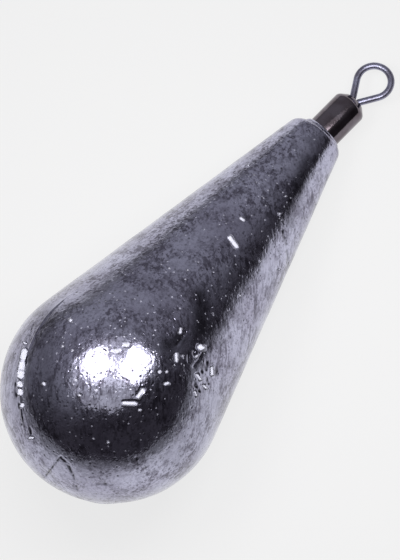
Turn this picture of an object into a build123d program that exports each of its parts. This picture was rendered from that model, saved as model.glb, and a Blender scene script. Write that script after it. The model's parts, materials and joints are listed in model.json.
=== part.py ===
from build123d import *

import os
from math import asin, atan2, cos, degrees, hypot, radians, sin, sqrt

# Pear-shaped casting sinker: a cast lead weight with a brass barrel swivel set in its nose
#
# The weight is modelled about its own axis, with the bulb's centre at zero and the line eye up the +Z axis.
# The swivel is modelled about its own axis, with zero at the barrel's lower lip.
# The whole part is then laid on its side, as it rests on a table.

# Driving dimensions, in millimetres and degrees

# Lead weight
BULB_RADIUS = 11.42
NOSE_DISTANCE = 36.05  # bulb centre to the flat end of the nose
NOSE_RADIUS = 2.95  # cone, run on to the flat end
NOSE_ROUND = 0.9
GATE_RADIUS = 1.3  # trimmed pouring gate at the bulb's end
SEAM_WIDTH = 0.5  # raised line where the mould halves met
SEAM_HEIGHT = 0.12
SEAM_STOP = 2.0  # the mould line ends this far short of the nose
SEAM_ROLL = 45.0  # turn of the mould line about the axis, away from straight up
COLLAR_WIDTH = 0.42  # bead of lead round the foot of the barrel
COLLAR_HEIGHT = 0.55
COLLAR_ROOT = 0.8  # how deep the bead runs into the nose

# Swivel barrel
BARREL_RADIUS = 1.84
BARREL_LENGTH = 7.8
BARREL_WALL = 0.4
BARREL_DEPTH = 2.6  # length set in the lead
SHOULDER_HEIGHT = 0.7  # swaged cone at each end
SHOULDER_ROUND = 0.25
LIP_WALL = 0.26  # metal round each end hole
SWIVEL_LEAN = 8.0  # the swivel stands a little askew in the casting, to one side
SWIVEL_LIFT = 7.0  # and up, so that the eye turns clear of the ground

# Wire eyes
WIRE_DIAMETER = 0.72
RING_RADIUS = 1.78  # centre line of the ring
RING_DISTANCE = 2.9  # barrel lip to the ring's centre
NECK_DISTANCE = 0.15  # barrel lip to where the two legs part
NECK_BEND = 0.6  # centre-line radius where the legs part
HEAD_BAND = 0.35  # straight side of the upset head
HEAD_CHAMFER = 0.4  # end of the upset head

# Clearances
LEG_GAP = 0.04  # between the two legs of one eye
SHANK_CLEARANCE = 0.06  # legs to the end hole, so that the eye spins
HEAD_CLEARANCE = 0.14  # head to the barrel's inner wall
HEAD_PLAY = 0.08  # head to the inner shoulder, along the axis
CASTING_GAP = 0.02  # lead to what is cast into it

# Worked out from these

wire_radius = WIRE_DIAMETER / 2
leg_offset = wire_radius + LEG_GAP / 2
shank_radius = leg_offset + wire_radius
hole_radius = shank_radius + SHANK_CLEARANCE
lip_radius = hole_radius + LIP_WALL
chamber_radius = BARREL_RADIUS - BARREL_WALL
shoulder_slope = SHOULDER_HEIGHT / (BARREL_RADIUS - lip_radius)
head_radius = chamber_radius - HEAD_CLEARANCE

# The cone touches the bulb and passes through the rim of the nose
cone_angle = asin(BULB_RADIUS / hypot(NOSE_DISTANCE, NOSE_RADIUS)) - atan2(NOSE_RADIUS, NOSE_DISTANCE)

swivel_seat = NOSE_DISTANCE - BARREL_DEPTH
swivel_place = Pos(0, 0, swivel_seat) * Rot(SWIVEL_LEAN, -SWIVEL_LIFT, 0)


def revolved(section):
    """Turn a half section, drawn as radius and height, about the Z axis."""
    return revolve(Plane.XZ * section, Axis.Z)


def weight_section(growth):
    """Half section of the bulb, cone and nose, with the round skin moved out by growth."""
    radius = BULB_RADIUS + growth
    gate_height = -sqrt(BULB_RADIUS**2 - GATE_RADIUS**2)
    gate_edge = (sqrt(radius**2 - gate_height**2), gate_height)
    touch = (radius * cos(cone_angle), radius * sin(cone_angle))
    rim = (NOSE_RADIUS + growth / cos(cone_angle), NOSE_DISTANCE)
    outline = [
        Polyline((0, NOSE_DISTANCE), (0, gate_height), gate_edge),
        ThreePointArc(gate_edge, (radius, 0), touch),
        FilletPolyline(touch, rim, (0, NOSE_DISTANCE), radius=NOSE_ROUND + growth),
    ]
    return make_face(Curve() + outline)


def mould_line():
    """Thin raised line round the weight in the plane where the mould halves met."""
    width = 4 * BULB_RADIUS
    length = 2 * (NOSE_DISTANCE - SEAM_STOP)
    slab = Rot(0, 0, -SEAM_ROLL) * Box(width, SEAM_WIDTH, length)
    return revolved(weight_section(SEAM_HEIGHT)) & slab


def nose_collar():
    """Rounded bead of lead that climbs the foot of the barrel, in the swivel's frame."""
    bore = BARREL_RADIUS + CASTING_GAP
    rim = bore + COLLAR_WIDTH
    low = BARREL_DEPTH - COLLAR_ROOT
    top = BARREL_DEPTH + COLLAR_HEIGHT
    halfway = radians(45)
    bulge = (bore + COLLAR_WIDTH * cos(halfway), BARREL_DEPTH + COLLAR_HEIGHT * sin(halfway))
    outline = [
        Polyline((bore, top), (bore, low), (rim, low), (rim, BARREL_DEPTH)),
        ThreePointArc((rim, BARREL_DEPTH), bulge, (bore, top)),
    ]
    return revolved(make_face(Curve() + outline))


def barrel_section(radius, length, lip, rounding):
    """Half section of a closed barrel with a swaged cone at each end."""
    shoulder = (radius - lip) * shoulder_slope
    side = [(lip, 0), (radius, shoulder), (radius, length - shoulder), (lip, length)]
    outline = [
        Polyline((lip, length), (0, length), (0, 0), (lip, 0)),
        FilletPolyline(*side, radius=rounding),
    ]
    return make_face(Curve() + outline)


def barrel_envelope(growth):
    """Outside of the barrel, filled in, with its skin moved out by growth."""
    radius = BARREL_RADIUS + growth
    length = BARREL_LENGTH + 2 * growth
    section = barrel_section(radius, length, lip_radius + growth, SHOULDER_ROUND + growth)
    return Pos(0, 0, -growth) * revolved(section)


def swivel_barrel():
    """Tube with both ends swaged in, open inside, with a round hole at each end."""
    chamber = barrel_section(chamber_radius, BARREL_LENGTH - 2 * BARREL_WALL, hole_radius, SHOULDER_ROUND)
    hole = Pos(0, 0, BARREL_LENGTH / 2) * Cylinder(hole_radius, 2 * BARREL_LENGTH)
    return barrel_envelope(0) - Pos(0, 0, BARREL_WALL) * revolved(chamber) - hole


def head_height():
    """Axial length of the upset head, without its chamfer."""
    return (head_radius - hole_radius) * shoulder_slope + HEAD_BAND


def eye_path():
    """Centre line of one eye, seen face on: up one leg, round the ring and down the other leg.

    Heights are above the barrel's lip, and the legs start at the head inside the barrel.
    """
    foot = -BARREL_WALL - head_height()
    rise = RING_DISTANCE - NECK_DISTANCE
    reach = hypot(leg_offset, rise)
    spread = asin(RING_RADIUS / reach) - atan2(leg_offset, rise)
    run = sqrt(reach**2 - RING_RADIUS**2)
    touch = (leg_offset + run * sin(spread), NECK_DISTANCE + run * cos(spread))
    leg = FilletPolyline((leg_offset, foot), (leg_offset, NECK_DISTANCE), touch, radius=NECK_BEND)
    ring = ThreePointArc(touch, (0, RING_DISTANCE + RING_RADIUS), (-touch[0], touch[1]))
    return Plane.YZ * Wire([*leg.edges(), ring, *leg.mirror(Plane.YZ).edges()])


def eye_head():
    """Upset end of the two legs, which bears on the barrel's inner shoulder."""
    top = -BARREL_WALL - HEAD_PLAY
    shoulder = top - (head_radius - hole_radius) * shoulder_slope
    band = top - head_height()
    end = band - HEAD_CHAMFER
    side = [(hole_radius, top), (head_radius, shoulder), (head_radius, band)]
    tip = (head_radius - HEAD_CHAMFER, end)
    return revolved(make_face(Polyline((0, end), (0, top), *side, tip, close=True)))


def eye_wire(growth):
    """Bent wire of one eye, with its skin moved out by growth."""
    path = eye_path()
    section = Plane(path @ 0, z_dir=path % 0) * Circle(wire_radius + growth)
    return sweep(section, path)


def line_eye():
    """Eye at the top of the barrel, for the line."""
    return Pos(0, 0, BARREL_LENGTH) * (eye_wire(0) + eye_head())


def anchor_place():
    """Turns an eye end for end, onto the barrel's lower lip."""
    return Rot(180, 0, 0)


def anchor_eye():
    """Eye at the bottom of the barrel, which the lead is cast round."""
    return anchor_place() * (eye_wire(0) + eye_head())


def lead_weight():
    """Casting, with the pocket that it leaves round the barrel and the anchor eye."""
    insert = barrel_envelope(CASTING_GAP) + anchor_place() * eye_wire(CASTING_GAP)
    casting = revolved(weight_section(0)) + mould_line() + swivel_place * nose_collar()
    return casting - swivel_place * insert


def pieces():
    """Every piece in the frame of the weight's own axis."""
    return {
        "lead_weight": lead_weight(),
        "swivel_barrel": swivel_place * swivel_barrel(),
        "line_eye": swivel_place * line_eye(),
        "anchor_eye": swivel_place * anchor_eye(),
    }


def resting_place(made):
    """Lays the cone's side on the ground, with the origin under the middle of the part's box."""
    laid = Rot(0, 90 + degrees(cone_angle), 0)
    box = Compound([laid * piece for piece in made.values()]).bounding_box()
    return Pos(-box.center().X, -box.center().Y, -box.min.Z) * laid


def main():
    made = pieces()
    place = resting_place(made)
    os.makedirs("parts", exist_ok=True)
    for name, piece in made.items():
        export_step(place * piece, os.path.join("parts", name + ".step"))


if __name__ == "__main__":
    main()
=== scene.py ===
# %% [markdown]
# # A cast lead sinker on a barrel swivel
#
# This lesson dresses a small fishing sinker: a pear-shaped lead casting with a barrel swivel set in its
# nose. The CAD model gives the solids, their places and the one joint. Blender replaces each solid with a
# mesh of the same size that has what the solid lacks: the ripples, pits and nicks of cast lead, and the
# plating of the swivel's tube and wire. The light is part of the lesson too, because bare metal shows
# little but its surroundings.

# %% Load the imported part
import json
import math

import bmesh
import bpy
from mathutils import Matrix, Vector, kdtree, noise


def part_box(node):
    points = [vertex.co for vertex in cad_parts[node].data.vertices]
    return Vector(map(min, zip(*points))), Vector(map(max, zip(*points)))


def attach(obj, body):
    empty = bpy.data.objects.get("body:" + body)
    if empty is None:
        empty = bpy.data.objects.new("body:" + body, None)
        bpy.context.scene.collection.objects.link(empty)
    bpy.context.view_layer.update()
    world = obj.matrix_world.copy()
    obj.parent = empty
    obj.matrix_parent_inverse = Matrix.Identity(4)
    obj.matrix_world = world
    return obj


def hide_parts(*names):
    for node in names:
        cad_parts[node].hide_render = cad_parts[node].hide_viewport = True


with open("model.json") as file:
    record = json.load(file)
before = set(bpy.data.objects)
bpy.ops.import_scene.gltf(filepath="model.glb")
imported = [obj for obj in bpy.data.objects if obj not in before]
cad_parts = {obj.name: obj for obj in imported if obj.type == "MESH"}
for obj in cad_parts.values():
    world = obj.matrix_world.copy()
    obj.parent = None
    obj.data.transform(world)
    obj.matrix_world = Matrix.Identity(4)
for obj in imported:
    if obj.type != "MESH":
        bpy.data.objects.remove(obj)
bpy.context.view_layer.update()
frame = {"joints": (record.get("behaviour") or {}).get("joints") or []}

# %% [markdown]
# ## Where the weight and the swivel lie
#
# The casting is a ball and a cone that touches it, and it lies on the cone's side. It could be modelled
# where it lies, but then every spin would need a slanted axis. So each piece is modelled upright, about its
# own axis, and one matrix carries it to its place. The ball's size and place come from the frame's box, and
# the swivel's axis from its joint. Only lengths that neither of them tells are written down.

# %% The two places
NOSE_DISTANCE = 0.03605  # ball's centre to the end of the nose
NOSE_RADIUS = 0.00295  # cone, run on to the end of the nose
BARREL_LENGTH = 0.0078

lead_low, lead_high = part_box("lead_weight")
ball_radius = (lead_high.y - lead_low.y) / 2
ball_centre = Vector((lead_low.x + ball_radius, 0, lead_low.z + ball_radius))
cone_angle = math.asin(ball_radius / math.hypot(NOSE_DISTANCE, NOSE_RADIUS))
cone_angle -= math.atan2(NOSE_RADIUS, NOSE_DISTANCE)
weight_place = Matrix.Translation(ball_centre) @ Matrix.Rotation(math.pi / 2 + cone_angle, 4, "Y")

eye_joint = frame["joints"][0]
swivel_axis = Vector(eye_joint["axis"]).normalized()
ring_across = swivel_axis.cross(weight_place.to_3x3().col[0]).normalized()
swivel_turn = Matrix((ring_across.cross(swivel_axis), ring_across, swivel_axis)).transposed()
barrel_foot = Vector(eye_joint["pos_m"]) - swivel_axis * BARREL_LENGTH
swivel_place = Matrix.Translation(barrel_foot) @ swivel_turn.to_4x4()

print("ball radius", round(ball_radius, 5), "cone angle", round(math.degrees(cone_angle), 2))

# %% [markdown]
# ## The camera
#
# The photograph looks down at a slant, through a long lens. A camera could be aimed by eye, but on bare
# metal a small slant changes every reflection, so it is worked out. White paper starts to show on the
# ball's edge sooner below than at the left, and that tells the slant: 16 degrees from straight down, to the
# picture's lower right. The nose slopes down by the cone's angle, so it dips away from the camera by a
# known angle. Straight up and the way of the nose then give the camera's three axes.

# %% Camera axes
AXIS_TURN = math.radians(51.25)  # the nose points up and to the right
SLANT = math.radians(16)
SLANT_TURN = math.radians(296)  # where the camera has moved to, counted from the picture's right


def picture_way(turn, away):
    """Direction in the camera's frame: a turn in the picture, and an angle away from the camera."""
    return Vector((math.cos(turn) * math.sin(away), math.sin(turn) * math.sin(away), math.cos(away)))


plumb = picture_way(SLANT_TURN + math.pi, SLANT)
lean = plumb.dot(picture_way(AXIS_TURN, math.pi / 2))
dip = math.atan2(lean, plumb.z) + math.asin(math.sin(cone_angle) / math.hypot(lean, plumb.z))
along = (picture_way(AXIS_TURN, math.pi / 2 + dip) + plumb * math.sin(cone_angle)).normalized()
to_frame = Matrix((along, plumb.cross(along), plumb))
image_right, image_up, image_back = [column.copy() for column in to_frame.col]
print("dip of the axis", round(math.degrees(dip), 2), "degrees")

# %% [markdown]
# With the axes known, the lens, the scale and the ball's pixel fix where the camera stands. The same
# numbers tell at which pixel a point of the scene shows, and later that puts each mark of the lead in its
# place.

# %% Camera
IMAGE_WIDTH = 400
IMAGE_HEIGHT = 560
PIXELS_PER_METRE = 9815  # at the ball's centre
BALL_PIXEL = Vector((111.9, 391.4))
LENS = 800.0
SENSOR = 36.0

focal_pixels = IMAGE_HEIGHT * LENS / SENSOR
camera_place = ball_centre + image_back * focal_pixels / PIXELS_PER_METRE
camera_place += image_right * (IMAGE_WIDTH / 2 - BALL_PIXEL.x) / PIXELS_PER_METRE
camera_place += image_up * (BALL_PIXEL.y - IMAGE_HEIGHT / 2) / PIXELS_PER_METRE


def photo_pixel(point):
    """Pixel of the picture where a point of the scene shows."""
    away = to_frame.transposed() @ (point - camera_place)
    scale = focal_pixels / away.z
    return Vector((IMAGE_WIDTH / 2 - away.x * scale, IMAGE_HEIGHT / 2 + away.y * scale))


camera = bpy.data.objects.new("slant_camera", bpy.data.cameras.new("slant_camera"))
bpy.context.scene.collection.objects.link(camera)
bpy.context.scene.camera = camera
camera.data.lens = LENS
camera.data.sensor_width = SENSOR
camera.matrix_world = Matrix.Translation(camera_place) @ to_frame.to_4x4()
print("camera at", [round(x, 4) for x in camera_place])

# %% [markdown]
# ## Where the lamps stand
#
# The ball mirrors two lamps in a soft halo, and the pixels of their glints tell the way to each one. Lamps
# could stand far away, as in a studio, but then they would also be mirrored all along the barrel, which is
# dark in the photograph. So the lamps stand close above the ball. Their places are worked out here, before
# the lead, because the small flats in its skin have to face them.

# %% Lamp places
LAMPS = {  # pixel of the glint, length, width and turn in degrees, radiance; with no turn, an ellipse
    "left_lamp": ((97.7, 362.7), 30, 25, 44, 6.0),
    "right_lamp": ((135.2, 363.8), 36, 24, 55, 6.0),
    "upper_diffuser": ((116, 361), 82, 56, 0, 0.5),
    "lower_diffuser": ((106, 378), 78, 72, 0, 0.45),
}
LAMP_DISTANCE = 0.067  # from the ball's skin


def lamp_stand(glint):
    """Way from the ball's skin to the lamp that it mirrors at a pixel, and the lamp's place."""
    reach = (Vector(glint) - BALL_PIXEL) / PIXELS_PER_METRE
    turn = math.atan2(-reach.y, reach.x)
    away = math.asin(reach.length / ball_radius)
    back = to_frame @ picture_way(turn, 2 * away)
    return back, ball_centre + to_frame @ picture_way(turn, away) * ball_radius + back * LAMP_DISTANCE


lamp_stands = {name: lamp_stand(glint) for name, (glint, *_) in LAMPS.items()}
for name, (_, place) in lamp_stands.items():
    print(name, "at", [round(x, 3) for x in place])

# %% [markdown]
# ## Finishing a mesh
#
# Every piece ends the same way: doubles are merged, the normals are turned outwards, and the mesh becomes a
# smooth object that rides on its body and stands for its CAD node. A piece could get its place from its
# object's matrix too, but a pattern on Object coordinates would then shift in the export, so the place is
# always in the mesh.

# %% Helpers for meshes
MERGE_DISTANCE = 1e-6


def tidy(bm):
    """Merges what a full spin left double and turns the faces outwards."""
    bmesh.ops.remove_doubles(bm, verts=bm.verts, dist=MERGE_DISTANCE)
    bmesh.ops.recalc_face_normals(bm, faces=bm.faces)


def finished(bm, name, body, node, material):
    """Makes the object, gives it its finish and lets it stand for a CAD node."""
    mesh = bpy.data.meshes.new(name)
    bm.to_mesh(mesh)
    bm.free()
    mesh.shade_smooth()
    mesh.materials.append(material)
    piece = bpy.data.objects.new(name, mesh)
    bpy.context.scene.collection.objects.link(piece)
    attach(piece, body)
    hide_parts(node)
    triangles = sum(len(face.vertices) - 2 for face in mesh.polygons)
    print(name, "has", triangles, "triangles")


# %% [markdown]
# ## The finishes
#
# Bare metal has hardly any colour of its own. What tells lead from nickel is its tint, how sharp its
# reflections are, and how that changes over the surface. A finish could be an image laid on the piece, but
# it would blur up close. Here each finish is a shader whose tint, roughness and bump come from noise on
# Object coordinates, so the pattern is sharp at every size and stays on the metal from every side.

# %% Helpers for patterns
CLOUD_ROUGHNESS = 0.55


def new_finish(name, metallic=1.0):
    """A material, its node tree and its shader."""
    material = bpy.data.materials.new(name)
    material.use_nodes = True
    tree = material.node_tree
    shader = tree.nodes["Principled BSDF"]
    shader.inputs["Metallic"].default_value = metallic
    return material, tree, shader


def add_node(tree, kind, **settings):
    """A node with some of its settings changed."""
    made = tree.nodes.new(kind)
    for key, value in settings.items():
        setattr(made, key, value)
    return made


def place_on_piece(tree, turn=(0, 0, 0), stretch=(1, 1, 1)):
    """Object coordinates. A pattern laid on them is stretched, and then turned."""
    place = add_node(tree, "ShaderNodeTexCoord")
    mapping = add_node(tree, "ShaderNodeMapping", vector_type="TEXTURE")
    mapping.inputs["Rotation"].default_value = turn
    mapping.inputs["Scale"].default_value = stretch
    tree.links.new(place.outputs["Object"], mapping.inputs["Vector"])
    return mapping.outputs["Vector"]


def clouds(tree, vector, scale, detail):
    """Soft noise, from 0 to 1."""
    made = add_node(tree, "ShaderNodeTexNoise")
    made.inputs["Scale"].default_value = scale
    made.inputs["Detail"].default_value = detail
    made.inputs["Roughness"].default_value = CLOUD_ROUGHNESS
    tree.links.new(vector, made.inputs["Vector"])
    return made.outputs["Fac"]


# %% [markdown]
# A pattern is a number at each point of the skin. The next helpers turn it into what a shader takes: a
# stretched range, a mix of two colours, a bump, or a sum with another number. The nodes could be written
# out for each finish, but short functions keep the recipes readable.

# %% Helpers for finishes
def remap(tree, value, low, high, to_low, to_high):
    """Stretches part of a range onto another, smoothly."""
    made = add_node(tree, "ShaderNodeMapRange", interpolation_type="SMOOTHSTEP")
    tree.links.new(value, made.inputs["Value"])
    for key, number in zip(("From Min", "From Max", "To Min", "To Max"), (low, high, to_low, to_high)):
        made.inputs[key].default_value = number
    return made.outputs["Result"]


def tint(tree, factor, first, second):
    """Mixes two colours, or a colour and another mix."""
    made = add_node(tree, "ShaderNodeMix", data_type="RGBA")
    tree.links.new(factor, made.inputs["Factor"])
    for key, colour in zip(("A", "B"), (first, second)):
        socket = [entry for entry in made.inputs if entry.name == key and entry.type == "RGBA"][0]
        if isinstance(colour, bpy.types.NodeSocket):
            tree.links.new(colour, socket)
        else:
            socket.default_value = (*colour, 1)
    return [entry for entry in made.outputs if entry.type == "RGBA"][0]


def raised(tree, height, distance, below=None, strength=None):
    """Bump of a height in metres, on top of another bump. A height below zero is a dent."""
    made = add_node(tree, "ShaderNodeBump", invert=distance < 0)
    made.inputs["Distance"].default_value = abs(distance)
    tree.links.new(height, made.inputs["Height"])
    if strength is not None:
        tree.links.new(strength, made.inputs["Strength"])
    if below is not None:
        tree.links.new(below, made.inputs["Normal"])
    return made.outputs["Normal"]


def reckon(tree, operation, first, second):
    """One operation of arithmetic on two values. The second may be a plain number."""
    made = add_node(tree, "ShaderNodeMath", operation=operation)
    tree.links.new(first, made.inputs[0])
    if isinstance(second, bpy.types.NodeSocket):
        tree.links.new(second, made.inputs[1])
    else:
        made.inputs[1].default_value = second
    return made.outputs["Value"]


# %% [markdown]
# ### Lead
#
# Lead comes bluish and bright out of the mould and soon turns grey in patches. Its skin has flow streaks,
# grains and burst bubbles that hold dirt and painted shade, and a white bloom grows on it in specks, which
# also stand in, painted lighter, for the glints of tiny facets. One noise could stand for all of this, but
# it would look like dust, so each effect has a pattern of its own size. Calm and lively regions keep the
# spots from lying evenly all over.

# %% Lead patterns
LEAD_CLOUDS = {  # scale per metre and detail of each soft pattern
    "patches": (170, 3),
    "calm": (330, 3),
    "mottle": (1100, 4),
    "lumps": (2100, 2),
    "grains": (4600, 2),
}
STREAK_CLOUD = (2600, 2)
STREAK_STRETCH = (1, 4, 1)  # the streaks run up and down the picture
LEAD_PITS = {  # scale per metre, share of the cells that have a pit, and its radius in cells
    "holes": (1300, 0.42, 0.24),
    "pinholes": (2300, 0.4, 0.45),
    # bloom specks, painted lighter, which also stand in for the glints of tiny facets
    "bloom_and_glints": (1700, 0.45, 0.28),
}


def pits(tree, skin, scale, share, radius):
    """1 in the middle of a pit and 0 beside it, in some cells of a pattern."""
    cells = add_node(tree, "ShaderNodeTexVoronoi")
    cells.inputs["Scale"].default_value = scale
    tree.links.new(skin, cells.inputs["Vector"])
    chance = add_node(tree, "ShaderNodeSeparateColor")
    tree.links.new(cells.outputs["Color"], chance.inputs["Color"])
    chosen = reckon(tree, "LESS_THAN", chance.outputs["Red"], share)
    return reckon(tree, "MULTIPLY", remap(tree, cells.outputs["Distance"], 0, radius, 1, 0), chosen)


def lead_patterns(tree):
    """Every pattern of the lead by its name, with the two marks that its mesh carries."""
    skin = place_on_piece(tree)
    flowed = place_on_piece(tree, to_frame.to_euler(), STREAK_STRETCH)
    made = {name: clouds(tree, skin, *numbers) for name, numbers in LEAD_CLOUDS.items()}
    made["streaks"] = clouds(tree, flowed, *STREAK_CLOUD)
    for name, numbers in LEAD_PITS.items():
        made[name] = pits(tree, skin, *numbers)
    # the painted dark of dirt and shade, and fresh metal, as the mesh's vertices carry them
    for name in ("dirt_and_shade", "fresh"):
        made[name] = add_node(tree, "ShaderNodeAttribute", attribute_name=name).outputs["Fac"]
    return made


print("soft patterns:", *LEAD_CLOUDS, "streaks", "and pits:", *LEAD_PITS)

# %% [markdown]
# The patterns are now laid one over the other, as the effects lie on the real skin: dull patches, grey
# spots, dirt with painted shade, bloom with painted glints and last the fresh metal of a nick. They could
# all be added up, but then grey spots would show through the dirt and shade, so each layer covers what is
# under it.

# %% Lead colour
LEAD_BRIGHT = (0.55, 0.55, 0.695)
LEAD_DULL = (0.43, 0.42, 0.545)
LEAD_GREY = (0.135, 0.125, 0.17)
# dark of dirt, and painted shade, in pits, creases and stains
LEAD_DIRT_AND_SHADE = (0.03, 0.027, 0.035)
# lighter specks of bloom, which also paint the glints of tiny facets
LEAD_BLOOM_AND_GLINTS = (0.62, 0.62, 0.72)
LEAD_FRESH = (0.4, 0.4, 0.46)
DULL_LIMITS = (0.35, 0.65)  # of the patches: bright below, dull above
CALM_LIMITS = (0.38, 0.6)  # of the regions: calm below, lively above
CALM_SHARES = (0.25, 0.85)  # of the grey spots, in a calm and in a lively region
GREY_SPOTS = {  # where a pattern starts to turn grey, where it is greyest, and how grey that is
    "mottle": (0.47, 0.6, 0.6),
    "streaks": (0.49, 0.63, 1),
    "grains": (0.5, 0.68, 1),
}
# how dark each kind of pit is painted, with dirt and with shade in the hollow
DIRT_AND_SHADE_SHARES = {"holes": 0.85, "pinholes": 0.5}


def lead_colour(tree, made):
    """Bright lead under dull patches, grey spots, dirt and painted shade, bloom and painted glints, and
    fresh metal.
    """
    colour = tint(tree, remap(tree, made["patches"], *DULL_LIMITS, 0, 1), LEAD_BRIGHT, LEAD_DULL)
    lively = remap(tree, made["calm"], *CALM_LIMITS, *CALM_SHARES)
    for name, (low, high, most) in GREY_SPOTS.items():
        share = reckon(tree, "MULTIPLY", remap(tree, made[name], low, high, 0, most), lively)
        colour = tint(tree, share, colour, LEAD_GREY)
    # dirt and painted shade: from the vertices' attribute and from the pits
    dirt_and_shade = made["dirt_and_shade"]
    for name, share in DIRT_AND_SHADE_SHARES.items():
        dirt_and_shade = reckon(tree, "MAXIMUM", dirt_and_shade, reckon(tree, "MULTIPLY", made[name], share))
    colour = tint(tree, dirt_and_shade, colour, LEAD_DIRT_AND_SHADE)
    # lighter specks: bloom and painted glints
    colour = tint(tree, made["bloom_and_glints"], colour, LEAD_BLOOM_AND_GLINTS)
    return tint(tree, made["fresh"], colour, LEAD_FRESH)


print("grey spots from:", *GREY_SPOTS, "and dirt in:", *DIRT_AND_SHADE_SHARES)

# %% [markdown]
# The same patterns raise and dent the skin, so that a dark pit is also a hollow. The skin is nearly
# polished, apart from bloom specks, which also stand in for glints, and fresh metal. A flat of fresh metal
# loses the bumps, so that the whole of it flashes at once.

# %% Lead finish
ROUGH_LIMITS = (0.3, 0.7)  # of the patches
LEAD_ROUGH = (0.1, 0.17)  # where it is bright and where it is dull
MARK_ROUGH = {"bloom_and_glints": 0.55, "fresh": 0.5}
ROUGH_FULL = 0.6  # strength of a mark at which it is as rough as it gets
BUMPS_GONE = 0.5  # strength of the fresh metal at which the bumps are gone
LEAD_BUMPS = {  # height in metres, and below zero a depth
    "lumps": 0.00002,
    "streaks": 0.000016,
    "grains": 0.000007,
    "holes": -0.00003,
    "pinholes": -0.000015,
}


def lead_roughness(tree, made):
    """Nearly polished, and rough at bloom specks with their painted glints and at fresh metal."""
    rough = remap(tree, made["patches"], *ROUGH_LIMITS, *LEAD_ROUGH)
    for name, most in MARK_ROUGH.items():
        rough = reckon(tree, "MAXIMUM", rough, remap(tree, made[name], 0, ROUGH_FULL, 0, most))
    return rough


def cast_lead():
    """The finish of the casting."""
    material, tree, shader = new_finish("cast_lead")
    made = lead_patterns(tree)
    tree.links.new(lead_colour(tree, made), shader.inputs["Base Color"])
    tree.links.new(lead_roughness(tree, made), shader.inputs["Roughness"])
    bumpy = remap(tree, made["fresh"], 0, BUMPS_GONE, 1, 0)
    normal = None
    for name, height in LEAD_BUMPS.items():
        normal = raised(tree, made[name], height, normal, bumpy)
    tree.links.new(normal, shader.inputs["Normal"])
    return material


lead_finish = cast_lead()
print("finish:", lead_finish.name)

# %% [markdown]
# ### Swivel
#
# Such a swivel is brass under a dark plating, polished on the barrel and satin on the bent wire. Two plain
# metals would do from afar, but plating tarnishes in patches and handling scuffs it. Barrel and wire differ
# only in tint and roughness, so one function makes both.

# %% Swivel
TUBE_BRIGHT = (0.18, 0.157, 0.18)
TUBE_TARNISH = (0.125, 0.103, 0.117)
TUBE_ROUGH = (0.06, 0.12)
WIRE_BRIGHT = (0.34, 0.34, 0.45)
WIRE_TARNISH = (0.21, 0.2, 0.26)
WIRE_ROUGH = (0.32, 0.42)
TARNISH_CLOUD = (700, 4)  # scale per metre and detail
TARNISH_LIMITS = (0.38, 0.68)
SCUFF_CLOUD = (4000, 3)
SCUFF_LIMITS = (0.3, 0.7)
SCUFF_HEIGHT = 0.000005


def plated_metal(name, bright, tarnish, rough):
    """A plated metal, tarnished in patches and finely scuffed."""
    material, tree, shader = new_finish(name)
    skin = place_on_piece(tree)
    stains = clouds(tree, skin, *TARNISH_CLOUD)
    scuffs = clouds(tree, skin, *SCUFF_CLOUD)
    colour = tint(tree, remap(tree, stains, *TARNISH_LIMITS, 0, 1), bright, tarnish)
    tree.links.new(colour, shader.inputs["Base Color"])
    tree.links.new(remap(tree, scuffs, *SCUFF_LIMITS, *rough), shader.inputs["Roughness"])
    tree.links.new(raised(tree, scuffs, SCUFF_HEIGHT), shader.inputs["Normal"])
    return material


tube_finish = plated_metal("swivel_tube", TUBE_BRIGHT, TUBE_TARNISH, TUBE_ROUGH)
wire_finish = plated_metal("swivel_wire", WIRE_BRIGHT, WIRE_TARNISH, WIRE_ROUGH)
print("finishes:", tube_finish.name, wire_finish.name)

# %% [markdown]
# ## The lead weight
#
# The casting is a turned form. A sphere and a cone could be joined by a boolean, but the smooth passage
# from one to the other would need mending. So it starts as half an outline of a few vertices: the trimmed
# gate, an arc for the ball, a straight cone and a small arc at the nose. One full spin makes the skin, with
# rows of even faces that can be sculpted later.

# %% Helpers for outlines
def point_spin(bm, start, centre, angle, steps):
    """Carries an outline on from a vertex round an arc in the XZ plane, and returns the last vertex."""
    turned = bmesh.ops.spin(
        bm, geom=[start], cent=centre, axis=(0, -1, 0), angle=angle, steps=steps
    )
    return [part for part in turned["geom_last"] if isinstance(part, bmesh.types.BMVert)][0]


def point_line(bm, start, end, steps):
    """Carries an outline on along a straight line, in short runs: a spin that doesn't turn."""
    step = (Vector(end) - start.co) / steps
    moved = bmesh.ops.spin(bm, geom=[start], axis=(0, 1, 0), dvec=step, angle=0, steps=steps)
    return [part for part in moved["geom_last"] if isinstance(part, bmesh.types.BMVert)][0]


def turn_outline(bm, steps):
    """Spins a whole outline once round the Z axis."""
    outline = bm.verts[:] + bm.edges[:]
    bmesh.ops.spin(
        bm, geom=outline, axis=(0, 0, 1), angle=2 * math.pi, steps=steps, use_merge=True
    )
    tidy(bm)


# %% Outline and spin
GATE_RADIUS = 0.0013
GATE_RINGS = 6
NOSE_ROUND = 0.0009
BALL_RINGS = 84
CONE_RINGS = 120
NOSE_RINGS = 10
ROUND_STEPS = 216
ROUND_SHARE = 0.5  # the rounding of the nose goes this far, and then the bead begins

gate_depth = math.sqrt(ball_radius**2 - GATE_RADIUS**2)
gate_angle = math.asin(GATE_RADIUS / ball_radius)
round_turn = math.pi / 2 - cone_angle
round_inset = NOSE_ROUND * math.tan(round_turn / 2)
round_centre = Vector((NOSE_RADIUS - round_inset, 0, NOSE_DISTANCE - NOSE_ROUND))

bm = bmesh.new()
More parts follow.
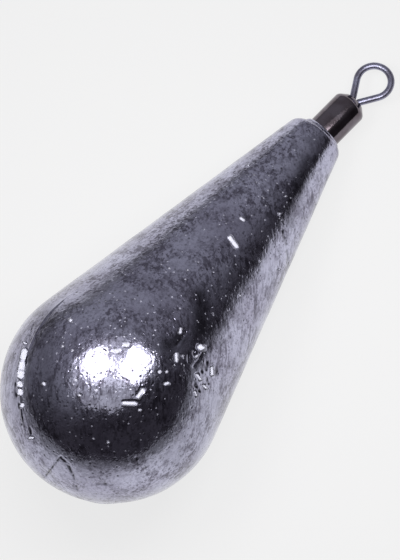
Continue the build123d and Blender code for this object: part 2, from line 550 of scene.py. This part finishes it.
# one attribute for the painted dark of dirt and shade, one for fresh metal
for mark in ("dirt_and_shade", "fresh"):
    bm.verts.layers.float.new(mark)
dirt_and_shade_layer = bm.verts.layers.float["dirt_and_shade"]
fresh_layer = bm.verts.layers.float["fresh"]
tip = point_line(bm, bm.verts.new((0, 0, -gate_depth)), (GATE_RADIUS, 0, -gate_depth), GATE_RINGS)
tip = point_spin(bm, tip, (0, 0, 0), math.pi / 2 - gate_angle + cone_angle, BALL_RINGS)
cone_end = round_centre + Vector((math.cos(cone_angle), 0, math.sin(cone_angle))) * NOSE_ROUND
tip = point_line(bm, tip, cone_end, CONE_RINGS)
tip = point_spin(bm, tip, round_centre, round_turn * ROUND_SHARE, NOSE_RINGS)
rim_point = tip.co.copy()
turn_outline(bm, ROUND_STEPS)
print("weight's skin:", len(bm.faces), "faces")

# %% [markdown]
# The halves of the mould met in a plane through the axis, and left a thin ridge with steep sides. It could
# be a strip of its own on top of the skin, but its edges would never meet the skin cleanly. So the columns
# of faces beside that plane are cut finer, and the ridge is raised from them later.

# %% Columns under the mould line
SEAM_ROLL = math.radians(45)  # turn of the mould line about the axis, away from straight up
SEAM_HEIGHT = 0.00012
SEAM_HALF = 0.00025  # half its width
SEAM_REACH = 0.0006  # columns up to this far from it are cut
SEAM_STEP = 0.00012  # shorter edges are not cut
SEAM_CUTS = 3

seam_across = Vector((math.sin(SEAM_ROLL), math.cos(SEAM_ROLL), 0))


def crosses_seam(edge):
    """Whether an edge goes round the weight, close to the mould line, and is long enough to cut."""
    first, second = [vert.co for vert in edge.verts]
    if abs(second.z - first.z) > MERGE_DISTANCE or edge.calc_length() < SEAM_STEP:
        return False
    return abs(((first + second) / 2).dot(seam_across)) < SEAM_REACH


bmesh.ops.subdivide_edges(bm, edges=[edge for edge in bm.edges if crosses_seam(edge)], cuts=SEAM_CUTS)
bmesh.ops.transform(bm, matrix=weight_place, verts=bm.verts)
bm.normal_update()
print("with the mould line's columns:", len(bm.faces), "faces")

# %% [markdown]
# ### Marks
#
# The casting has creases, stains and nicks of its own. Noise could scatter such marks, but the eye knows
# this casting by them, so they are listed at their pixels in the photograph. A crease is pressed in and is
# painted dark with dirt and shade, and a stain only darkens the colour.

# %% Places of creases and stains
CREASES = [  # start and end pixel, half width in pixels, depth in metres, darkness of dirt and painted shade
    ((60, 457), (45, 477), 1.2, 0.00008, 1.0),
    ((61, 457), (68, 464), 1.1, 0.00008, 1.0),
    ((68, 464), (73, 475), 1.2, 0.00008, 1.0),
    ((73, 475), (77, 489), 1.1, 0.00007, 0.9),
    ((136, 453), (137, 468), 1.1, 0.00006, 0.8),
    ((97, 483), (106, 484), 1.3, 0.00006, 0.9),
    ((186, 332), (177, 345), 1.4, 0.00008, 0.9),
    ((206.5, 347), (194, 366.5), 1.3, 0.00009, 1.0),
    ((193.5, 347), (194, 355.5), 1.3, 0.00008, 0.9),
    ((188.6, 354), (188.6, 362), 1.2, 0.00008, 0.9),
    ((185.4, 363), (184.3, 368.4), 1.3, 0.00007, 0.9),
    ((171, 357.5), (174.5, 368), 1.1, 0.00007, 0.9),
    ((216.7, 366.5), (216.7, 377), 1.2, 0.00008, 1.0),
    ((207, 362), (206, 370), 1.2, 0.00008, 0.9),
    ((201, 370.5), (202.6, 376), 1.2, 0.00007, 0.9),
    ((205, 375.5), (208.7, 384.5), 1.3, 0.00008, 0.9),
    ((194.6, 384.5), (199.2, 392), 1.5, 0.00009, 1.0),
    ((33.7, 325), (29.9, 335.4), 1.2, 0.00007, 1.0),
    ((26.4, 355.5), (26, 364), 1.0, 0.00006, 0.9),
    ((16, 383), (16.5, 396), 1.1, 0.00007, 1.0),
    ((18.9, 403.5), (19.3, 408), 1.0, 0.00006, 0.9),
    ((22.2, 416.5), (22.2, 424.5), 1.1, 0.00006, 0.9),
    ((29.9, 428), (31.3, 434), 1.1, 0.00006, 0.9),
    ((282, 231), (286.6, 244), 1.2, 0.00006, 0.8),
    ((287.5, 250), (288.5, 265), 1.2, 0.00006, 0.8),
]
STAINS = [  # start and end pixel, half width in pixels, darkness painted on the colour
    ((200, 294), (201, 330), 9, 0.8),
    ((166, 345), (180, 338), 8, 0.75),
    ((47, 316), (45, 408), 13, 0.4),
    # painted shade: narrows the bright band that the cone's right side mirrors
    ((307, 160), (288, 222), 7, 0.5),
    ((310, 142), (322, 130), 9, 0.25),
    ((203, 405), (178, 458), 18, 0.22),
]
print(len(CREASES), "creases and", len(STAINS), "stains")

# %% [markdown]
# A nick or a leaf of flash is a small flat of fresh metal. A long one has a start and an end. A small round
# one has only a middle, which is drawn out a little, so that the same code can cut both.

# %% Places of flats
FLATS = [  # start and end pixel, half width in pixels
    ((24.6, 350.5), (22.6, 358.5), 2.6),
    ((21.9, 363), (21, 370), 2.8),
    ((20.8, 373), (20.4, 377), 2.7),
    ((19.9, 382.5), (19.9, 386), 2.2),
    ((19.9, 390), (20.2, 394), 1.9),
    ((22.2, 404), (22.2, 406.5), 1.5),
    ((30, 437.8), (32.5, 437.8), 1.5),
    ((124.5, 403.5), (134.5, 403.5), 2.7),
    ((138.3, 397.5), (142.5, 389.5), 2.4),
    ((115.5, 350.4), (117.5, 350.8), 2.6),
    ((125.3, 344.2), (127, 344.6), 2.6),
    ((230, 237.5), (236.5, 246), 2.6),
    ((241, 218.2), (243.5, 220), 1.7),
    ((200, 346.8), (202.5, 348.2), 3.1),
    ((196, 356.5), (197.5, 356), 1.4),
    ((176.3, 354.5), (176.7, 360.5), 2.0),
    ((212.3, 367.5), (211.9, 375), 1.6),
    ((197, 374), (200.4, 380), 1.3),
    ((203.8, 385), (206.2, 388.5), 1.3),
    ((195, 391), (196.6, 396), 1.1),
    ((181, 329), (179.8, 332.5), 1.6),
    ((165, 383.6), (168.5, 383.6), 1.7),
]
NICKS = [  # pixel and half width of small round flats
    (70.2, 320.3, 1.9), (43.5, 383.8, 2.1), (62.4, 346.3, 1.4), (72.3, 350.5, 1.2), (75.8, 380, 1.5),
    (96.1, 389.8, 1.4), (79.3, 395.4, 1.6), (139.6, 410.1, 1.6), (93.3, 438.5, 1.1), (108, 442.4, 1.3),
    (159.3, 371.8, 1.8), (166.5, 371.8, 1.5), (182.5, 356, 1.2), (169.1, 268.4, 1.0), (187.5, 270, 0.9),
    (248, 165.1, 1.0), (279.3, 213.9, 1.2), (285.5, 196.2, 1.0), (239.9, 295.6, 1.2), (226.3, 266, 0.7),
    (260.5, 261.3, 0.9), (278.6, 269.4, 0.8), (24.6, 343, 1.5), (253.8, 175, 0.7), (268.5, 175.6, 0.7),
    (141, 421.4, 0.8), (122.8, 421.4, 0.8), (147.3, 313.3, 0.9),
]
NICK_LENGTH = 0.5  # in pixels
FLATS += [((x, y), (x + NICK_LENGTH, y), width) for x, y, width in NICKS]
print(len(FLATS), "flats")

# %% [markdown]
# A mark needs the vertices that show near its pixels. Each vertex could be tried against each mark, but a
# search tree of the skin's pixels finds them at once. The mesh is made finer there, so that every mark has
# clean walls.

# %% Finer skin under the marks
MARK_REACH = 2.2  # a mark ends this many half widths from its line
FINE_CUTS = 2


def skin_pixels(verts):
    """Search tree of the pixels of the vertices that face the camera."""
    tree = kdtree.KDTree(len(verts))
    for index, vert in enumerate(verts):
        if vert.normal.dot(image_back) > 0:
            tree.insert(photo_pixel(vert.co).to_3d(), index)
    tree.balance()
    return tree


def within(value, low=0.0):
    """The value, kept between a lower limit and 1."""
    return max(low, min(1.0, value))


def near_line(tree, start, end, width):
    """Number of each vertex near a line of the picture, and its distance from the line in half widths."""
    start, end = Vector(start), Vector(end)
    run = end - start
    middle = (start + end) / 2
    for pixel, index, _ in tree.find_range(middle.to_3d(), run.length / 2 + MARK_REACH * width):
        reach = pixel.to_2d() - start
        share = within(reach.dot(run) / run.length_squared)
        away = (reach - run * share).length / width
        if away < MARK_REACH:
            yield index, away


verts = bm.verts[:]
pixel_tree = skin_pixels(verts)
marked = set()
for start, end, width, *_ in CREASES + FLATS:
    marked.update(verts[index] for index, away in near_line(pixel_tree, start, end, width))
edges = list({edge for vert in marked for edge in vert.link_edges})
bmesh.ops.subdivide_edges(bm, edges=edges, cuts=FINE_CUTS, use_grid_fill=True)
bm.normal_update()
skin = bm.verts[:]
print(len(skin), "vertices in the skin")

# %% [markdown]
# ### Bead and pocket
#
# Where the barrel enters the nose, the lead climbs it in a small bead. The barrel stands a little askew, so
# a bead turned with the casting would not fit it. The rim of the nose is extruded ring by ring instead, in
# the swivel's own frame: each ring is the last one, resized and moved. After the bead the rings go down
# beside the barrel and close under it.

# %% Bead and pocket
BARREL_RADIUS = 0.00184
BARREL_DEPTH = 0.0026  # length set in the lead
CASTING_GAP = 0.00002
BEAD_WIDTH = 0.00042
BEAD_HEIGHT = 0.00055
BEAD_STEPS = 7
SHOULDER_HEIGHT = 0.0007  # swaged cone at each end of the barrel
LIP_RADIUS = 0.00106

pocket_radius = BARREL_RADIUS + CASTING_GAP


def ring_place(place, radius, height):
    """Matrix that lays a circle of radius 1 on the ring."""
    return place @ Matrix.Translation((0, 0, height)) @ Matrix.Diagonal((radius, radius, 1, 1))


def carry_ring(bm, edges, old, new):
    """Extrudes a ring and moves the copy from one place to another."""
    grown = bmesh.ops.extrude_edge_only(bm, edges=edges)["geom"]
    verts = [part for part in grown if isinstance(part, bmesh.types.BMVert)]
    bmesh.ops.transform(bm, matrix=new @ old.inverted(), verts=verts)
    return [part for part in grown if isinstance(part, bmesh.types.BMEdge) and part.is_boundary]


rings = []
for step in range(BEAD_STEPS + 1):
    climb = math.pi / 2 * step / BEAD_STEPS
    radius = pocket_radius + BEAD_WIDTH * math.cos(climb)
    rings.append((radius, BARREL_DEPTH + BEAD_HEIGHT * math.sin(climb)))
rings += [(pocket_radius, SHOULDER_HEIGHT), (LIP_RADIUS + CASTING_GAP, -CASTING_GAP)]

rim = [edge for edge in bm.edges if edge.is_boundary]
last_place = ring_place(weight_place, rim_point.x, rim_point.z)
for radius, height in rings:
    next_place = ring_place(swivel_place, radius, height)
    rim = carry_ring(bm, rim, last_place, next_place)
    last_place = next_place
bmesh.ops.holes_fill(bm, edges=rim)
bmesh.ops.recalc_face_normals(bm, faces=bm.faces)
bm.normal_update()
print("weight with its bead:", len(bm.faces), "faces")

# %% [markdown]
# ## The skin of the casting
#
# Lead poured into a cool mould freezes in waves. Bump alone could hint at them, but waves bend the
# reflections and show on the outline, so they are real shapes: each vertex moves along its normal by a
# height. The heights add up broad waves, finer ripples and the mould line, and fade out before the bead.

# %% Waves, ripples and the mould line
WAVE_SCALE = 260.0
WAVE_HEIGHT = 0.00003
RIPPLE_SCALE = 800.0
RIPPLE_HEIGHT = 0.000012
NOSE_CALM = 0.0015  # the waves die down over this length, towards the end of the nose
NOSE_STILL_SHARE = 0.4  # and have died down this share of it before the end
SEAM_FADE = 0.004  # the mould line wears down over this length from the ball to the cone
SEAM_WORN = 0.15  # share of its height that is left
SEAM_WHOLE = 0.9  # below 1, so that noise breaks the ridge here and there
SEAM_BREAK_SCALE = 500.0

to_weight = weight_place.inverted()


def seam_ridge(point, place):
    """Height of the mould line: flat sides, broken here and there, worn on the cone and at the gate."""
    ridge = max(0.0, 1 - abs(point.dot(seam_across)) / SEAM_HALF)
    worn = within(min(1 - point.z / SEAM_FADE, (point.z + gate_depth) / SEAM_FADE), SEAM_WORN)
    broken = within(SEAM_WHOLE + noise.noise(place * SEAM_BREAK_SCALE))
    return SEAM_HEIGHT * ridge * worn * broken


heights = []
for vert in skin:
    point = to_weight @ vert.co
    height = WAVE_HEIGHT * noise.noise(vert.co * WAVE_SCALE)
    height += RIPPLE_HEIGHT * noise.noise(vert.co * RIPPLE_SCALE)
    height += seam_ridge(point, vert.co)
    heights.append(height * within((NOSE_DISTANCE - point.z) / NOSE_CALM - NOSE_STILL_SHARE))
print("waves and mould line from", round(min(heights), 6), "to", round(max(heights), 6))

# %% [markdown]
# A crease lowers the heights along its line, in a soft groove that noise breaks up. Its darkness of dirt
# and painted shade, and that of a stain, is kept at the vertices as an attribute. The finish reads it
# there, so that the dark paint stays in the groove.

# %% Creases and stains
CREASE_WHOLE = 0.65  # share of a crease's depth where the noise is zero
CREASE_BREAK = 1.2  # weight of the noise that breaks a crease up
CREASE_BREAK_SCALE = 2200.0

pixel_tree = skin_pixels(skin)
# each crease and stain paints its darkness, dirt and shade, into the vertices' attribute
for start, end, width, depth, dirt_and_shade in CREASES + [(*stain[:3], 0, stain[3]) for stain in STAINS]:
    for index, away in near_line(pixel_tree, start, end, width):
        vert = skin[index]
        share = math.exp(-(away**2))
        if depth:
            share *= within(CREASE_WHOLE + CREASE_BREAK * noise.noise(vert.co * CREASE_BREAK_SCALE))
        heights[index] -= depth * share
        vert[dirt_and_shade_layer] = max(vert[dirt_and_shade_layer], dirt_and_shade * share)
print("with the creases from", round(min(heights), 6), "to", round(max(heights), 6))

# %% [markdown]
# A nick shines in the photograph because it happens to face halfway between a lamp and the camera. White
# paint on the finish would shine from every side, so each nick is a real flat, cut or raised a little and
# slightly domed, and it flashes in this picture as the real one does. With the last heights known, the
# whole skin moves at once.

# %% Flats
FLAT_DEPTH = 0.0003  # a flat is cut or raised by no more than this
FLAT_DOME = 0.2  # rise of a flat's middle over its edge, as a share of its half width


def lamp_facing(vert):
    """Way that a flat must face to show a lamp to the camera, for the lamp that needs the least tilt."""
    stands = [lamp_stands[name][1] for name in ("left_lamp", "right_lamp")]
    ways = [((stand - vert.co).normalized() + image_back).normalized() for stand in stands]
    return max(ways, key=vert.normal.dot)


for start, end, width in FLATS:
    middle = skin[pixel_tree.find(((Vector(start) + Vector(end)) / 2).to_3d())[1]]
    facing = lamp_facing(middle)
    for index, away in near_line(pixel_tree, start, end, width):
        vert = skin[index]
        share = math.exp(-(away**4))
        height = (middle.co - vert.co).dot(facing) / vert.normal.dot(facing)
        height -= FLAT_DOME * away**2 * width / PIXELS_PER_METRE
        height = max(-FLAT_DEPTH, min(FLAT_DEPTH, height))
        heights[index] += (height - heights[index]) * share
        vert[fresh_layer] = max(vert[fresh_layer], share)

normals = [vert.normal.copy() for vert in skin]
for vert, normal, height in zip(skin, normals, heights):
    vert.co += normal * height
print("skin moved from", round(min(heights), 6), "to", round(max(heights), 6))
finished(bm, "lead_weight_skin", "weight", "lead_weight", lead_finish)

# %% [markdown]
# ## The swivel's barrel
#
# The barrel is a short drawn tube with both ends swaged in over the heads of the eyes. A capped cylinder
# would look the same from outside, but the line eye turns in a real hole. So its wall is drawn as a closed
# outline, outside and inside, the corners are rounded with a bevel, and one spin makes a tube with a real
# wall.

# %% Barrel
BARREL_WALL = 0.0004
HOLE_RADIUS = 0.0008
SHOULDER_ROUND = 0.00025
LIP_ROUND = 0.00008
BARREL_STEPS = 128
CORNER_STEPS = 5

chamber_radius = BARREL_RADIUS - BARREL_WALL
shoulder_slope = SHOULDER_HEIGHT / (BARREL_RADIUS - LIP_RADIUS)
inner_shoulder = BARREL_WALL + (chamber_radius - HOLE_RADIUS) * shoulder_slope


def corner_bevel(bm, corners, offset):
    """Rounds corners of an outline."""
    bmesh.ops.bevel(
        bm, geom=corners, offset=offset, offset_type="OFFSET", affect="VERTICES",
        segments=CORNER_STEPS, profile=0.5, material=-1,
    )


outside_wall = [
    (LIP_RADIUS, 0),
    (BARREL_RADIUS, SHOULDER_HEIGHT),
]
inside_wall = [
    (chamber_radius, inner_shoulder),
    (HOLE_RADIUS, BARREL_WALL),
    (HOLE_RADIUS, 0),
]
wall = outside_wall + [(radius, BARREL_LENGTH - height) for radius, height in reversed(outside_wall)]
wall += [(radius, BARREL_LENGTH - height) for radius, height in reversed(inside_wall)] + inside_wall

bm = bmesh.new()
corners = [bm.verts.new((radius, 0, height)) for radius, height in wall]
for first, second in zip(corners, corners[1:] + corners[:1]):
    bm.edges.new((first, second))
shoulders = [corner for corner in corners if corner.co.x == corners[1].co.x]
lips = [corner for corner in corners if corner.co.x == corners[0].co.x]
corner_bevel(bm, shoulders, SHOULDER_ROUND)
corner_bevel(bm, lips, LIP_ROUND)
turn_outline(bm, BARREL_STEPS)
bmesh.ops.transform(bm, matrix=swivel_place, verts=bm.verts)
finished(bm, "swivel_barrel_tube", "weight", "swivel_barrel", tube_finish)

# %% [markdown]
# ## The two wire eyes
#
# An eye is one length of wire. A curve with a round bevel could draw it, but its bends would not be true
# arcs, so it is made as a wire bender makes it: a round section goes straight up the leg, turns out at the
# neck, runs straight, goes round the ring and comes down the other leg. The slanted runs have to meet the
# neck and the ring without a kink, and their angle and length follow from that.

# %% Wire sizes
WIRE_RADIUS = 0.00036
LEG_GAP = 0.00004
RING_RADIUS = 0.00178  # to the middle of the wire, as for the bend
RING_DISTANCE = 0.0029  # lip to the ring's centre
NECK_DISTANCE = 0.00015  # lip to where the legs part
NECK_BEND = 0.0006

leg_offset = WIRE_RADIUS + LEG_GAP / 2
neck_rise = RING_DISTANCE - NECK_DISTANCE
neck_reach = math.hypot(leg_offset, neck_rise)
spread = math.asin(RING_RADIUS / neck_reach) - math.atan2(leg_offset, neck_rise)
bend_length = NECK_BEND * math.tan(spread / 2)
slant_length = math.sqrt(neck_reach**2 - RING_RADIUS**2) - bend_length
print("legs spread by", round(math.degrees(spread), 2), "degrees over", round(slant_length, 5), "m")

# %% [markdown]
# The two legs end in one head, which is pressed from their ends inside the barrel. It is turned from an
# outline, as the barrel is, with a cone on top that fits the swaged shoulder.

# %% Head
HEAD_RADIUS = 0.0013
HEAD_PLAY = 0.00008  # along the axis, from the shoulder
HEAD_BAND = 0.00035
HEAD_CHAMFER = 0.0004
HEAD_STEPS = 64

head_drop = (HEAD_RADIUS - HOLE_RADIUS) * shoulder_slope


def upset_head():
    """The head that the two legs are pressed into, as a mesh."""
    top = -BARREL_WALL - HEAD_PLAY
    side = [
        (0, top),
        (HOLE_RADIUS, top),
        (HEAD_RADIUS, top - head_drop),
        (HEAD_RADIUS, top - head_drop - HEAD_BAND),
        (HEAD_RADIUS - HEAD_CHAMFER, top - head_drop - HEAD_BAND - HEAD_CHAMFER),
        (0, top - head_drop - HEAD_BAND - HEAD_CHAMFER),
    ]
    head = bmesh.new()
    corners = [head.verts.new((radius, 0, height)) for radius, height in side]
    for first, second in zip(corners, corners[1:]):
        head.edges.new((first, second))
    turn_outline(head, HEAD_STEPS)
    mesh = bpy.data.meshes.new("upset_head")
    head.to_mesh(mesh)
    head.free()
    return mesh


print("head's cone", round(head_drop, 5), "m high, over a band of", HEAD_BAND, "m")

# %% [markdown]
# A wire bender knows two moves, a straight run and a bend. Here a run is an extrusion and a bend is a spin,
# and each starts from the open end that the last move left.

# %% Wire bending
def straight(bm, ring, run):
    """Extrudes the open end of the wire along a run."""
    grown = bmesh.ops.extrude_edge_only(bm, edges=ring)["geom"]
    bmesh.ops.translate(bm, vec=run, verts=[part for part in grown if isinstance(part, bmesh.types.BMVert)])
    return [part for part in grown if isinstance(part, bmesh.types.BMEdge) and part.is_boundary]


def bend(bm, ring, centre, angle, steps):
    """Spins the open end of the wire about a centre in the eye's plane."""
    turned = bmesh.ops.spin(bm, geom=ring, cent=centre, axis=(1, 0, 0), angle=angle, steps=steps)
    return [part for part in turned["geom_last"] if isinstance(part, bmesh.types.BMEdge)]


# %% [markdown]
# Both eyes are the same wire. The second could be a copy of the first, but one function makes either of
# them where it belongs, and only the place and the body differ: the line eye turns, and the anchor eye is
# held in the lead.

# %% Eyes
WIRE_SIDES = 32
NECK_STEPS = 8
RING_STEPS = 72

foot = -BARREL_WALL - head_drop - HEAD_BAND  # the legs end inside the head


def wire_eye(place, name, body, node):
    """One eye with its head, its lip at zero and its ring up the Z axis, moved to its place."""
    bm = bmesh.new()
    section = Matrix.Translation((0, leg_offset, foot))
    bmesh.ops.create_circle(bm, segments=WIRE_SIDES, radius=WIRE_RADIUS, matrix=section)
    foot_ring = bm.edges[:]
    neck_height = NECK_DISTANCE - bend_length
    ring = straight(bm, foot_ring, (0, 0, neck_height - foot))
    ring = bend(bm, ring, (0, leg_offset + NECK_BEND, neck_height), -spread, NECK_STEPS)
    slant = Vector((0, math.sin(spread), math.cos(spread))) * slant_length
    ring = straight(bm, ring, slant)
    ring = bend(bm, ring, (0, 0, RING_DISTANCE), math.pi + 2 * spread, RING_STEPS)
    ring = straight(bm, ring, (0, slant.y, -slant.z))
    ring = bend(bm, ring, (0, -leg_offset - NECK_BEND, neck_height), -spread, NECK_STEPS)
    ring = straight(bm, ring, (0, 0, foot - neck_height))
    bmesh.ops.holes_fill(bm, edges=foot_ring + ring)
    tidy(bm)
    head = upset_head()
    bm.from_mesh(head)
    bpy.data.meshes.remove(head)
    bmesh.ops.transform(bm, matrix=place, verts=bm.verts)
    finished(bm, name, body, node, wire_finish)


top_lip = swivel_place @ Matrix.Translation((0, 0, BARREL_LENGTH))
bottom_lip = swivel_place @ Matrix.Rotation(math.pi, 4, "X")
wire_eye(top_lip, "line_eye_wire", "eye", "line_eye")
wire_eye(bottom_lip, "anchor_eye_wire", "weight", "anchor_eye")

# %% [markdown]
# ## Paper
#
# The sinker lies on white paper, which the camera sees evenly white and the ball's rim mirrors. More light
# would make a grey floor white, but it would burn out the lead. So what the camera and the metal see of the
# floor is mostly an even white, and the rest is lit paper that keeps a faint shadow. In the metal the white
# is a painted pool of light that fades with distance from the lamps' foot, and so the edge between paper
# and room is soft there.

# %% Paper
PAPER = (0.86, 0.86, 0.86)
EVEN_WHITE = 0.915  # strength, where 1 is white
EVEN_SHARE = 0.85  # the rest is lit paper
PAPER_NEAR = 0.03  # from the lamps' foot: the painted pool of light that the metal shows is full up to here
PAPER_FAR = 0.15
PAPER_LOSS = 0.75  # share of the painted pool's white that is lost at the far end

lamp_foot = (lamp_stands["left_lamp"][1] + lamp_stands["right_lamp"][1]) / 2
lamp_foot.z = 0


def paper():
    """White paper: lit paper under an even white that only the camera and mirrored rays see; mirrored, it
    is a painted pool of light.
    """
    material, tree, shader = new_finish("paper", metallic=0.0)
    shader.inputs["Base Color"].default_value = (*PAPER, 1)
    shader.inputs["Roughness"].default_value = 1.0
    shader.inputs["Specular IOR Level"].default_value = 0.0
    path = add_node(tree, "ShaderNodeLightPath")
    away = add_node(tree, "ShaderNodeVectorMath", operation="DISTANCE")
    away.inputs[1].default_value = lamp_foot
    tree.links.new(place_on_piece(tree), away.inputs[0])
    # painted pool of light: the white that mirrored rays see fades with distance from the lamps' foot
    painted_pool_fade = remap(tree, away.outputs["Value"], PAPER_NEAR, PAPER_FAR, 0, -PAPER_LOSS * EVEN_WHITE)
    painted_pool_fade = reckon(tree, "MULTIPLY", painted_pool_fade, path.outputs["Is Glossy Ray"])
    even = add_node(tree, "ShaderNodeEmission")
    tree.links.new(reckon(tree, "ADD", painted_pool_fade, EVEN_WHITE), even.inputs["Strength"])
    seen = path.outputs["Is Camera Ray"]
    for kind in ("Is Glossy Ray", "Is Transmission Ray"):
        seen = reckon(tree, "MAXIMUM", seen, path.outputs[kind])
    mixed = add_node(tree, "ShaderNodeMixShader")
    tree.links.new(reckon(tree, "MULTIPLY", seen, EVEN_SHARE), mixed.inputs["Fac"])
    tree.links.new(shader.outputs["BSDF"], mixed.inputs[1])
    tree.links.new(even.outputs["Emission"], mixed.inputs[2])
    tree.links.new(mixed.outputs["Shader"], tree.nodes["Material Output"].inputs["Surface"])
    return material


paper_finish = paper()
print("finish:", paper_finish.name)

# %% [markdown]
# A sheet of real size would have edges that show in the metal, so the floor is a disc that ends far away,
# like a horizon. It belongs to the stage and not to the object.

# %% Floor
FLOOR_RADIUS = 1.5
FLOOR_STEPS = 96

bm = bmesh.new()
bmesh.ops.create_circle(bm, cap_ends=True, segments=FLOOR_STEPS, radius=FLOOR_RADIUS)
mesh = bpy.data.meshes.new("floor")
bm.to_mesh(mesh)
bm.free()
mesh.materials.append(paper_finish)
floor = bpy.data.objects.new("floor", mesh)
bpy.context.scene.collection.objects.link(floor)
print("floor of radius", FLOOR_RADIUS)

# %% [markdown]
# ## Lamps
#
# Two small softboxes make the two glints, and two weak oval diffusers make the halo about them. Point lamps
# would make dots, so all four are area lamps. Seen from the ball, each softbox is as large as its glint
# tells, and every lamp faces the ball. Blender takes a lamp's power and not its brightness, so the power is
# worked out from the brightness and the area.

# %% Lamps
for name, (_, length, width, turn, radiance) in LAMPS.items():
    light = bpy.data.lights.new(name, "AREA")
    light.shape = "RECTANGLE" if turn else "ELLIPSE"
    light.size = 2 * LAMP_DISTANCE * math.tan(math.radians(length / 2))
    light.size_y = 2 * LAMP_DISTANCE * math.tan(math.radians(width / 2))
    area = light.size * light.size_y * (1 if turn else math.pi / 4)
    light.energy = radiance * math.pi * area
    lamp = bpy.data.objects.new(name, light)
    bpy.context.scene.collection.objects.link(lamp)
    lamp.visible_camera = False
    back, place = lamp_stands[name]
    lengthwise = to_frame @ picture_way(math.radians(turn), math.pi / 2)
    across = back.cross(lengthwise).normalized()
    facing = Matrix((across.cross(back), across, back)).transposed()
    lamp.matrix_world = Matrix.Translation(place) @ facing.to_4x4()
print(len(LAMPS), "lamps lit")

# %% [markdown]
# ## Sky
#
# The rest of the room is dim. One grey all round would leave the cone flat, because its two sides would
# look alike, so the sky goes from a light grey towards the picture's upper left to a dark one towards its
# lower right.

# %% Sky
SKY_BRIGHT = (0.33, 0.33, 0.36)
SKY_DARK = (0.046, 0.042, 0.048)
SKY_TURN = math.radians(112)  # the sky is brightest towards the picture's upper left
SKY_AWAY = math.radians(65)  # from the way to the camera
SKY_DARK_FROM = -0.1  # cosine of the angle from the brightest point at which the sky is darkest

world = bpy.data.worlds.new("dim_room")
world.use_nodes = True
tree = world.node_tree
way = add_node(tree, "ShaderNodeTexCoord")
toward = add_node(tree, "ShaderNodeVectorMath", operation="DOT_PRODUCT")
toward.inputs[1].default_value = to_frame @ picture_way(SKY_TURN, SKY_AWAY)
tree.links.new(way.outputs["Generated"], toward.inputs[0])
sky = tint(tree, remap(tree, toward.outputs["Value"], SKY_DARK_FROM, 1, 0, 1), SKY_DARK, SKY_BRIGHT)
tree.links.new(sky, tree.nodes["Background"].inputs["Color"])
bpy.context.scene.world = world
bpy.context.scene.view_settings.view_transform = "Standard"
print("sky:", world.name)
